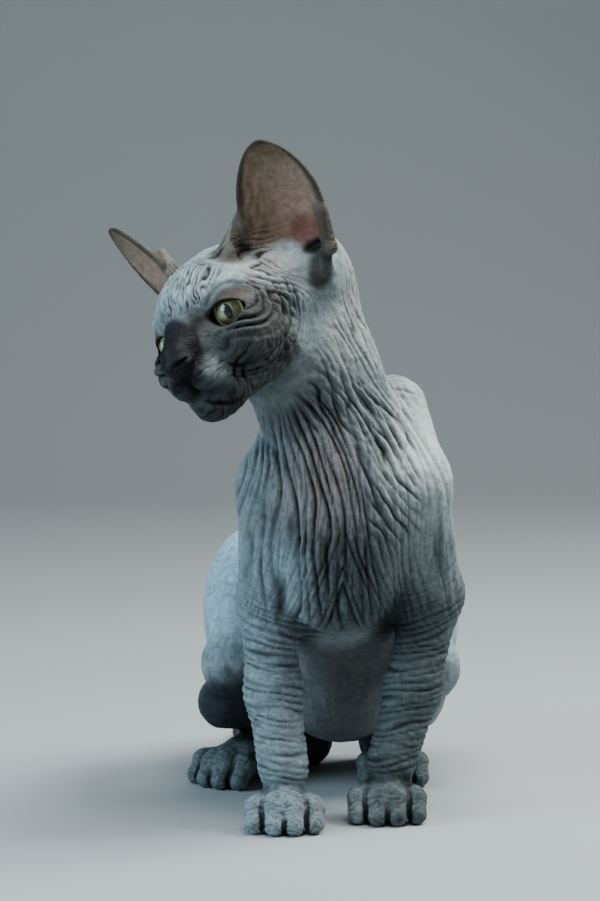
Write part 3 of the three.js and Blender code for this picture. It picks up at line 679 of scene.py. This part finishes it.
mottle = 0.5 + 0.9 * ripple(knots / 13.0)
stain([0.165, 0.21, 0.23], smooth_step(0.4, 0.95, mottle))
# Painted light: the haunches are paler and bluer, as if lit by a cool light from above.
haunch = smooth_step(66, 90, y) * smooth_step(52, 80, z)
stain([0.38, 0.57, 0.69], 0.88 * haunch)
# Painted light: the top of the neck is paler, as if lit from above.
stain([0.37, 0.405, 0.395], 0.8 * smooth_step(196, 225, z) * (1 - on_head))
# Painted shade on the low chest, which faces down and away from the light above.
low_chest_shade = span(70, 90, 128, 152, z) * front * spot(x, 3, 32)
stain([0.07, 0.09, 0.094], 0.9 * low_chest_shade)
# Painted shade under the chin.
under_chin_shade = spot(x, -30, 20) * spot(z, 196, 15) * fall(26, 42, y) * (1 - on_head)
stain([0.035, 0.043, 0.043], 0.85 * under_chin_shade)
# Painted light: the left shoulder is paler, as if lit from above.
shoulder = smooth_step(14, 30, x) * spot(z, 170, 30) * fall(75, 100, y)
stain([0.56, 0.65, 0.64], 0.9 * shoulder)
blush = spot(x, -6, 15) * spot(z, 158, 24) * front
stain([0.235, 0.185, 0.18], 0.75 * blush)
# Painted shade on the belly, under the chest.
belly = spot(x, 4, 28) * fall(78, 100, z) * span(48, 62, 120, 140, y)
stain([0.075, 0.072, 0.076], 0.9 * belly)
# Painted shade on the left foreleg, on the side away from the light.
left_leg_shade = 1.5 * smooth_step(8, 20, x) * fall(84, 116, z) * fall(55, 75, y)
stain([0.075, 0.098, 0.103], 0.55 * left_leg_shade)
# Painted light: the right foreleg is paler and bluer on its lit side.
right_leg_light = fall(-18, -8, x) * fall(118, 145, z) * fall(45, 60, y)
stain([0.25, 0.325, 0.365], 0.8 * right_leg_light)
hind_toes = fall(20, 30, z) * smooth_step(64, 76, y)
stain([0.11, 0.14, 0.15], 0.75 * hind_toes)
# Painted light: the top of the head over the brow is paler and bluer, as if lit from above.
stain([0.33, 0.40, 0.43], on_head * smooth_step(8, 18, high) * 0.85)
cheek = on_head * fall(0, 10, high) * smooth_step(-26, -8, ahead)
stain([0.062, 0.064, 0.062], 0.95 * cheek)
# Painted highlight on the temples, as if lit from above.
temple_light = on_head * spot(wide, 28, 12) * spot(ahead, -22, 13) * spot(high, 12, 9)
stain([0.72, 0.72, 0.69], 0.9 * temple_light)
stain([0.085, 0.066, 0.054], 0.9 * lid_brown)
tear = on_head * spot(wide, 9.5, 2.6) * spot(high, 1.5, 6) * smooth_step(8, 14, ahead)
stain([0.06, 0.052, 0.045], 0.8 * tear)
rim_dark = fall(0.6, 1.5, lid_ring) * fall(10.4, 11.8, from_eye) * on_head
stain([0.022, 0.018, 0.018], 0.95 * rim_dark)
bridge = fall(9.5, 12.5, wide) * smooth_step(10.5, 14, ahead) * fall(0, 4.5, high) * on_head
leather = smooth_step(18, 21, ahead) * fall(10.5, 12.5, wide) * smooth_step(-20, -16, high) * on_head
philtrum = smooth_step(18, 24, ahead) * fall(5, 11, wide) * on_head * fall(-18, -14, high)
stain([0.008, 0.0085, 0.011], 0.97 * np.maximum(np.maximum(bridge, leather), 0.9 * philtrum))
muzzle_low = smooth_step(4, 14, ahead) * fall(-27, -20, high) * on_head
stain([0.045, 0.05, 0.052], 0.8 * muzzle_low)
stain([0.17, 0.20, 0.215], 0.75 * on_head * spot(wide, 13, 4) * spot(ahead, 14, 7) * spot(high, -18, 4))
whisker_pad = on_head * spot(wide, 13, 4.5) * spot(ahead, 20, 7) * spot(high, -21, 5)
stain([0.30, 0.35, 0.36], 0.85 * whisker_pad)
shank_top = z + 0.25 * (y - 84) + 5 * ripple(knots / 9.0) - 0.3 * (x + 50)
shank = smooth_step(19, 26, z) * fall(49, 65, shank_top) * smooth_step(60, 68, y) \
    * fall(-28, -20, x)
stain([0.018, 0.022, 0.028], 0.96 * shank)
hocks = fall(40, 66, z + 4 * ripple(knots / 9.0)) * smooth_step(112, 130, y)
hocks = np.maximum(hocks, fall(34, 54, z) * smooth_step(92, 112, y) * smooth_step(-34, -24, x))
stain([0.03, 0.035, 0.042], 0.85 * hocks)
stain([0.06, 0.066, 0.075], 0.9 * smooth_step(184, 196, y))
inner = on_leaf * (ear_inside > 0)
outer_side = on_leaf * (ear_inside < 0)
leaf_edge = np.abs(ear_around) / np.maximum(1 - np.clip(ear_share, 0, 1) ** 2.4, 0.03) ** 0.62
rim_near = np.maximum(smooth_step(0.78, 0.92, leaf_edge), smooth_step(0.92, 0.98, ear_share))
stain([0.19, 0.195, 0.195], outer_side)
stain([0.205, 0.15, 0.11], inner)
pink = inner * np.exp(-((ear_share - 0.36) / 0.3) ** 2 - (ear_around - 0.3) ** 2 / 0.22)
stain([0.33, 0.205, 0.165], pink)
hairy = inner * fall(-0.75, -0.2, ear_around) * (0.5 + 0.9 * ripple(knots / [2.2, 2.2, 7.0]))
stain([0.075, 0.05, 0.032], hairy * 0.85)
stain([0.10, 0.07, 0.045], inner * smooth_step(0.72, 0.92, ear_share) * 0.7)
stain([0.03, 0.024, 0.018], (inner + outer_side) * rim_near * 0.85)
flaps = np.minimum(ear_folds(q.astype(np.float32), 1), ear_folds(q.astype(np.float32), -1))
flap = fall(2.0, 6.0, flaps) * smooth_step(-2, 6, high)
stain([0.095, 0.078, 0.062], 0.85 * flap)
m = np.stack([wide, ahead, high], 1)
below_ear = bone(m, [54, -41, 19], 2.5, [40.5, -37, -2], 3.5)
stain([0.045, 0.039, 0.033], 0.85 * on_head * fall(0, 4.5, below_ear))
lip_line = np.minimum.reduce([bone(m, a, 0.5, b, 0.5) for a, b in zip(LIPS, LIPS[1:])])
stain([0.01, 0.01, 0.011], 0.9 * on_head * fall(0.1, 1.1, lip_line))
conch = np.linalg.norm((m - np.array([43.5, -38, 19])) / np.array([9, 9, 9]), axis=1)
stain([0.17, 0.068, 0.052], 0.85 * fall(0.6, 1.1, conch))
# Painted shade: near black deep in each ear canal.
canal_dark = np.minimum(canal(q.astype(np.float32), 1), canal(q.astype(np.float32), -1))
deep_canal = fall(-0.2, 0.8, canal_dark) * fall(12.5, 15, high)
stain([0.012, 0.006, 0.006], deep_canal)
# Painted shade: the skin is darkened in the valleys of the folds and along the lid crease.
tint *= (1 - 0.93 * np.clip(1.25 * valley, 0, 1))[:, None]
# Painted shade in the nooks: darker where other skin lies close in front, more so low by the paws.
nook_shade = smooth_step(0.1 - 0.03 * paw_high, 0.7 - 0.22 * paw_high, shelter)
tint *= (1 - (0.8 + 0.12 * paw_high) * nook_shade)[:, None]
tint *= (0.88 + 0.24 * (0.5 + 0.9 * ripple(knots / 2.2)))[:, None]
tint = np.clip(tint, 0.003, 1)
wet = np.clip(leather * 0.4 + rim_dark * 0.9, 0, 1)

corner = knots[squares]
facing = np.cross(corner[:, 2] - corner[:, 0], corner[:, 3] - corner[:, 1])
smooth = np.stack([np.bincount(squares.reshape(-1), np.repeat(facing[:, n], 4), len(knots))
                   for n in range(3)], 1)
smooth /= np.maximum(np.linalg.norm(smooth, axis=1), 1e-9)[:, None]


# The skin's material: its painted colour under soft blotches, with pores, a network of small
# lines and low lumps in relief. It is dull, and damp on the nose and the rims of the lids.
def node(tree, kind, values=None, **options):
    """One node of a material, with its options set and the values of its inputs."""
    made = tree.nodes.new(kind)
    for option, value in options.items():
        setattr(made, option, value)
    for name, value in (values or {}).items():
        made.inputs[name].default_value = value
    return made


skin = bpy.data.materials.new("bare_skin")
skin.use_nodes = True
tree, link = skin.node_tree, skin.node_tree.links.new
shader = tree.nodes["Principled BSDF"]
shader.inputs["Specular IOR Level"].default_value = 0.10
shader.inputs["Subsurface Weight"].default_value = 0.05
shader.inputs["Subsurface Radius"].default_value = (1.0, 0.45, 0.35)
shader.inputs["Subsurface Scale"].default_value = 0.0015
painted = node(tree, "ShaderNodeAttribute", attribute_name="tint")
moist = node(tree, "ShaderNodeAttribute", attribute_name="wet")
where = node(tree, "ShaderNodeTexCoord")
pores = node(tree, "ShaderNodeTexNoise", {"Scale": 1900.0, "Detail": 3.0})
link(where.outputs["Object"], pores.inputs["Vector"])
stretch = node(tree, "ShaderNodeMapping", {"Scale": (1.0, 1.0, 2.1)})
link(where.outputs["Object"], stretch.inputs["Vector"])
netting = node(tree, "ShaderNodeTexVoronoi", {"Scale": 520.0}, feature="DISTANCE_TO_EDGE")
link(stretch.outputs["Vector"], netting.inputs["Vector"])
blotches = node(tree, "ShaderNodeTexNoise", {"Scale": 260.0, "Detail": 4.0, "Distortion": 0.7})
link(where.outputs["Object"], blotches.inputs["Vector"])
tone = node(tree, "ShaderNodeMapRange", {"From Min": 0.3, "From Max": 0.7, "To Min": 0.62, "To Max": 1.25})
link(blotches.outputs["Fac"], tone.inputs["Value"])
shade = node(tree, "ShaderNodeMix", {"Factor": 0.55}, data_type="RGBA", blend_type="MULTIPLY")
link(painted.outputs["Color"], shade.inputs["A"])
link(tone.outputs["Result"], shade.inputs["B"])
link(shade.outputs["Result"], shader.inputs["Base Color"])
gloss = node(tree, "ShaderNodeMapRange", {"To Min": 0.6, "To Max": 0.26})
link(moist.outputs["Fac"], gloss.inputs["Value"])
link(gloss.outputs["Result"], shader.inputs["Roughness"])
beneath = None
for height, strength, distance in ((pores.outputs["Fac"], 0.35, 0.0004),
                                   (netting.outputs["Distance"], 0.4, 0.0006),
                                   (blotches.outputs["Fac"], 0.45, 0.0009)):
    relief = node(tree, "ShaderNodeBump", {"Strength": strength, "Distance": distance})
    link(height, relief.inputs["Height"])
    if beneath:
        link(beneath.outputs["Normal"], relief.inputs["Normal"])
    beneath = relief
link(relief.outputs["Normal"], shader.inputs["Normal"])

# The skin is cut into five pieces: across the neck and below the chest, between the face and the
# nape, and ahead of the thighs.
NECK_CUT, CHEST_CUT, FACE_CUT, THIGH_CUT = 184, 106, -36, 70
centre = corner.mean(1)
lengths = {
    "skin_face": (centre[:, 2] > NECK_CUT) & (centre[:, 0] < FACE_CUT),
    "skin_nape": (centre[:, 2] > NECK_CUT) & (centre[:, 0] >= FACE_CUT),
    "skin_chest": (centre[:, 2] <= NECK_CUT) & (centre[:, 2] > CHEST_CUT),
    "skin_front_legs": (centre[:, 2] <= CHEST_CUT) & (centre[:, 1] < THIGH_CUT),
    "skin_haunches": (centre[:, 2] <= CHEST_CUT) & (centre[:, 1] >= THIGH_CUT),
}
stands_for = {
    "skin_face": ("head", "nose", "ear_right"),
    "skin_nape": ("neck", "ear_left"),
    "skin_chest": ("torso",),
    "skin_front_legs": ("front_leg_left", "front_leg_right", "front_paw_left", "front_paw_right"),
    "skin_haunches": ("hind_leg_left", "hind_leg_right", "hind_foot_left", "hind_foot_right",
                      "tail_root", "tail_end"),
}
for name, chosen in lengths.items():
    faces = squares[chosen]
    used, local = np.unique(faces, return_inverse=True)
    local = local.reshape(-1, 4)
    mesh = bpy.data.meshes.new(name)
    mesh.vertices.add(len(used))
    mesh.vertices.foreach_set("co", ((knots[used] + SHIFT) / 1000).reshape(-1))
    mesh.loops.add(local.size)
    mesh.loops.foreach_set("vertex_index", local.reshape(-1))
    mesh.polygons.add(len(local))
    mesh.polygons.foreach_set("loop_start", np.arange(0, local.size, 4))
    mesh.update(calc_edges=True)
    mesh.validate()
    paint = mesh.attributes.new("tint", "FLOAT_COLOR", "POINT")
    paint.data.foreach_set("color", np.column_stack([tint[used], np.ones(len(used))]).reshape(-1))
    damp = mesh.attributes.new("wet", "FLOAT", "POINT")
    damp.data.foreach_set("value", wet[used])
    mesh.shade_smooth()
    mesh.normals_split_custom_set_from_vertices(smooth[used])
    mesh.materials.append(skin)
    piece = bpy.data.objects.new(name, mesh)
    bpy.context.scene.collection.objects.link(piece)
    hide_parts(*stands_for[name])
    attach(piece, "root")


# The eyes: a ball with a sunk yellow-green iris and a tall dark pupil, and over it the clear
# cornea, a thin wet dome that takes the highlight.
IRIS = 7.3
IRIS_DEPTH, IRIS_SLOPE, IRIS_SWELL = 1.9, 0.9, 0.25
PUPIL_HALF_WIDTH, PUPIL_HALF_HEIGHT = 1.95, 3.6
CORNEA_GAP, CORNEA_SWELL = 0.06, 0.75
CHART_SIZE = 20.0
AROUND = 48


def turned(side, ring, deep):
    """Points on rings about an eye's gaze: ring is the distance from the gaze line, deep along it."""
    share = np.linspace(0, 2 * math.pi, AROUND, endpoint=False)
    gaze = np.array([side * math.sin(GAZE), math.cos(GAZE), 0])
    across = np.array([math.cos(GAZE) * side, -math.sin(GAZE), 0])
    up = np.array([0, 0, 1.0])
    rim = ring[:, None, None] * (np.cos(share)[None, :, None] * across + np.sin(share)[None, :, None] * up)
    place = rim + deep[:, None, None] * gaze + np.array([side * EYE_SPREAD, 0, 0])
    world = place.reshape(-1, 3) @ HEAD_AXES + FACE_CENTRE
    flat = np.stack([ring[:, None] * np.cos(share)[None], ring[:, None] * np.sin(share)[None]], -1)
    return world, flat.reshape(-1, 2)


def dome(name, side, ring, deep, material, chart_ring):
    """A closed turned form: a small disc at each end, and squares between its rings."""
    world = turned(side, ring, deep)[0]
    flat = turned(side, chart_ring, deep)[1]
    index = np.arange(len(ring) * AROUND).reshape(len(ring), AROUND)
    beside = np.roll(index, -1, axis=1)
    faces = np.stack([index[:-1], index[1:], beside[1:], beside[:-1]], -1).reshape(-1, 4).tolist()
    mesh = bpy.data.meshes.new(name)
    caps = [index[0].tolist(), index[-1][::-1].tolist()]
    mesh.from_pydata(((world + SHIFT) / 1000).tolist(), [], faces + caps)
    chart = mesh.uv_layers.new(name="iris_chart")
    order = np.zeros(len(mesh.loops), np.int32)
    mesh.loops.foreach_get("vertex_index", order)
    chart.data.foreach_set("uv", (flat / CHART_SIZE + 0.5)[order].reshape(-1))
    mesh.shade_smooth()
    mesh.materials.append(material)
    made = bpy.data.objects.new(name, mesh)
    bpy.context.scene.collection.objects.link(made)
    shell = bmesh.new()
    shell.from_mesh(mesh)
    bmesh.ops.recalc_face_normals(shell, faces=shell.faces)
    shell.to_mesh(mesh)
    shell.free()
    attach(made, "root")
    return made


iris = bpy.data.materials.new("iris")
iris.use_nodes = True
tree, link = iris.node_tree, iris.node_tree.links.new
shader = tree.nodes["Principled BSDF"]
shader.inputs["Roughness"].default_value = 0.35
shader.inputs["Specular IOR Level"].default_value = 0.3
chart = node(tree, "ShaderNodeUVMap", uv_map="iris_chart")
in_mm = node(tree, "ShaderNodeMapping", {"Location": (-CHART_SIZE / 2, -CHART_SIZE / 2, 0.0),
                                         "Scale": (CHART_SIZE, CHART_SIZE, CHART_SIZE)})
link(chart.outputs["UV"], in_mm.inputs["Vector"])
radius = node(tree, "ShaderNodeVectorMath", operation="LENGTH")
link(in_mm.outputs["Vector"], radius.inputs[0])
split = node(tree, "ShaderNodeSeparateXYZ")
link(in_mm.outputs["Vector"], split.inputs["Vector"])
bearing = node(tree, "ShaderNodeMath", operation="ARCTAN2")
link(split.outputs["Y"], bearing.inputs[0])
link(split.outputs["X"], bearing.inputs[1])
spin = node(tree, "ShaderNodeMath", {1: 9.0}, operation="MULTIPLY")
link(bearing.outputs["Value"], spin.inputs[0])
rays = node(tree, "ShaderNodeCombineXYZ")
link(spin.outputs["Value"], rays.inputs["X"])
link(radius.outputs["Value"], rays.inputs["Y"])
fibres = node(tree, "ShaderNodeTexNoise", {"Scale": 1.1, "Detail": 6.0})
link(rays.outputs["Vector"], fibres.inputs["Vector"])
share_out = node(tree, "ShaderNodeMath", {1: IRIS}, operation="DIVIDE")
link(radius.outputs["Value"], share_out.inputs[0])
iris_tones = node(tree, "ShaderNodeValToRGB")
stops = iris_tones.color_ramp.elements
stops[0].color = (0.42, 0.44, 0.17, 1)
stops[1].color = (0.02, 0.022, 0.02, 1)
stops.new(0.45).color = (0.60, 0.62, 0.32, 1)
stops.new(0.84).color = (0.66, 0.68, 0.40, 1)
stops.new(0.95).color = (0.16, 0.17, 0.09, 1)
link(share_out.outputs["Value"], iris_tones.inputs["Fac"])
glow = node(tree, "ShaderNodeMapRange", {"From Min": 0.3, "From Max": 0.7, "To Min": 0.55, "To Max": 1.35})
link(fibres.outputs["Fac"], glow.inputs["Value"])
streak = node(tree, "ShaderNodeMix", {"Factor": 0.55}, data_type="RGBA", blend_type="MULTIPLY")
link(iris_tones.outputs["Color"], streak.inputs["A"])
link(glow.outputs["Result"], streak.inputs["B"])
squash = node(tree, "ShaderNodeMapping", {"Scale": (1 / PUPIL_HALF_WIDTH, 1 / PUPIL_HALF_HEIGHT, 1.0)})
link(in_mm.outputs["Vector"], squash.inputs["Vector"])
slit = node(tree, "ShaderNodeVectorMath", operation="LENGTH")
link(squash.outputs["Vector"], slit.inputs[0])
slit_edge = node(tree, "ShaderNodeMapRange", {"From Min": 0.92, "From Max": 1.08})
link(slit.outputs["Value"], slit_edge.inputs["Value"])
pupil = node(tree, "ShaderNodeMix", {"A": (0.001, 0.002, 0.004, 1)}, data_type="RGBA")
link(slit_edge.outputs["Result"], pupil.inputs["Factor"])
link(streak.outputs["Result"], pupil.inputs["B"])
link(pupil.outputs["Result"], shader.inputs["Base Color"])

cornea = bpy.data.materials.new("cornea")
cornea.use_nodes = True
tree, link = cornea.node_tree, cornea.node_tree.links.new
tree.nodes.clear()
result = node(tree, "ShaderNodeOutputMaterial")
wet_film = node(tree, "ShaderNodeMixShader")
see_through = node(tree, "ShaderNodeBsdfTransparent")
mirror = node(tree, "ShaderNodeBsdfGlossy", {"Roughness": 0.03})
grazing = node(tree, "ShaderNodeFresnel", {"IOR": 1.55})
link(grazing.outputs["Fac"], wet_film.inputs["Fac"])
link(see_through.outputs["BSDF"], wet_film.inputs[1])
link(mirror.outputs["BSDF"], wet_film.inputs[2])
link(wet_film.outputs["Shader"], result.inputs["Surface"])

for side, word in ((1, "left"), (-1, "right")):
    flat_ring = np.linspace(0.15, IRIS, 14)
    share = flat_ring / IRIS
    sunk = EYE_RADIUS - IRIS_DEPTH - IRIS_SLOPE * share ** 2 + IRIS_SWELL * np.cos(share * math.pi * 0.5)
    back = np.linspace(math.asin(IRIS / EYE_RADIUS), math.pi - 0.03, 18)
    ring = np.concatenate([flat_ring, EYE_RADIUS * np.sin(back)])
    deep = np.concatenate([sunk, EYE_RADIUS * np.cos(back)])
    chart_ring = np.concatenate([flat_ring, np.linspace(7.4, 9.4, len(back))])
    ball = dome(f"eyeball_{word}", side, ring, deep, iris, chart_ring)
    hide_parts(f"eye_{word}")
    arc = np.linspace(0.02, 1.16, 20)
    outer_radius = EYE_RADIUS + CORNEA_GAP + CORNEA_SWELL * fall(0, 1.0, arc)
    outer_ring = outer_radius * np.sin(arc)
    clear = dome(f"cornea_{word}", side, outer_ring, outer_radius * np.cos(arc), cornea, outer_ring)

# The floor and the light: a plain pale sweep, a broad soft light high on the left that the eye
# mirrors, a cooler one that fills from the right, and one behind that lines the back and haunch.
floor_mesh = bpy.data.meshes.new("studio_floor")
bend_steps = [math.radians(6 * n) for n in range(16)]
curve = [(1.1 + 0.7 * math.sin(t), 0.7 - 0.7 * math.cos(t)) for t in bend_steps]
profile = [(-2.5, 0.0)] + curve + [(1.8, 3.0)]
floor_mesh.from_pydata([(sx, py, pz) for py, pz in profile for sx in (-3.0, 3.0)], [],
                       [(2 * n, 2 * n + 1, 2 * n + 3, 2 * n + 2) for n in range(len(profile) - 1)])
floor_mesh.shade_smooth()
floor = bpy.data.objects.new("studio_floor", floor_mesh)
bpy.context.scene.collection.objects.link(floor)
paper = bpy.data.materials.new("paper")
paper.use_nodes = True
paper.node_tree.nodes["Principled BSDF"].inputs["Base Color"].default_value = (0.40, 0.43, 0.45, 1)
paper.node_tree.nodes["Principled BSDF"].inputs["Roughness"].default_value = 0.85
floor_mesh.materials.append(paper)


def lamp(name, place, power, size, colour):
    """A square area light that faces the kitten's chest."""
    data = bpy.data.lights.new(name, "AREA")
    data.energy = power
    data.size = size
    data.color = colour
    made = bpy.data.objects.new(name, data)
    bpy.context.scene.collection.objects.link(made)
    made.location = place
    made.rotation_euler = (Vector((0, 0, 0.17)) - Vector(place)).to_track_quat("-Z", "Y").to_euler()


lamp("overhead", (0.06, -0.20, 0.88), 7.0, 0.4, (1.0, 1.0, 0.97))
lamp("sky", (-0.95, -0.40, 0.50), 11.0, 0.6, (0.62, 0.86, 1.0))
lamp("rim", (0.72, 0.12, 0.95), 17.0, 0.5, (0.96, 1.0, 0.97))
lamp("fill", (0.5, -1.4, 0.5), 0.7, 0.9, (0.95, 1.0, 1.0))
world = bpy.data.worlds.new("studio")
world.use_nodes = True
world.node_tree.nodes["Background"].inputs["Color"].default_value = (0.62, 0.65, 0.64, 1)
world.node_tree.nodes["Background"].inputs["Strength"].default_value = 0.17
bpy.context.scene.world = world
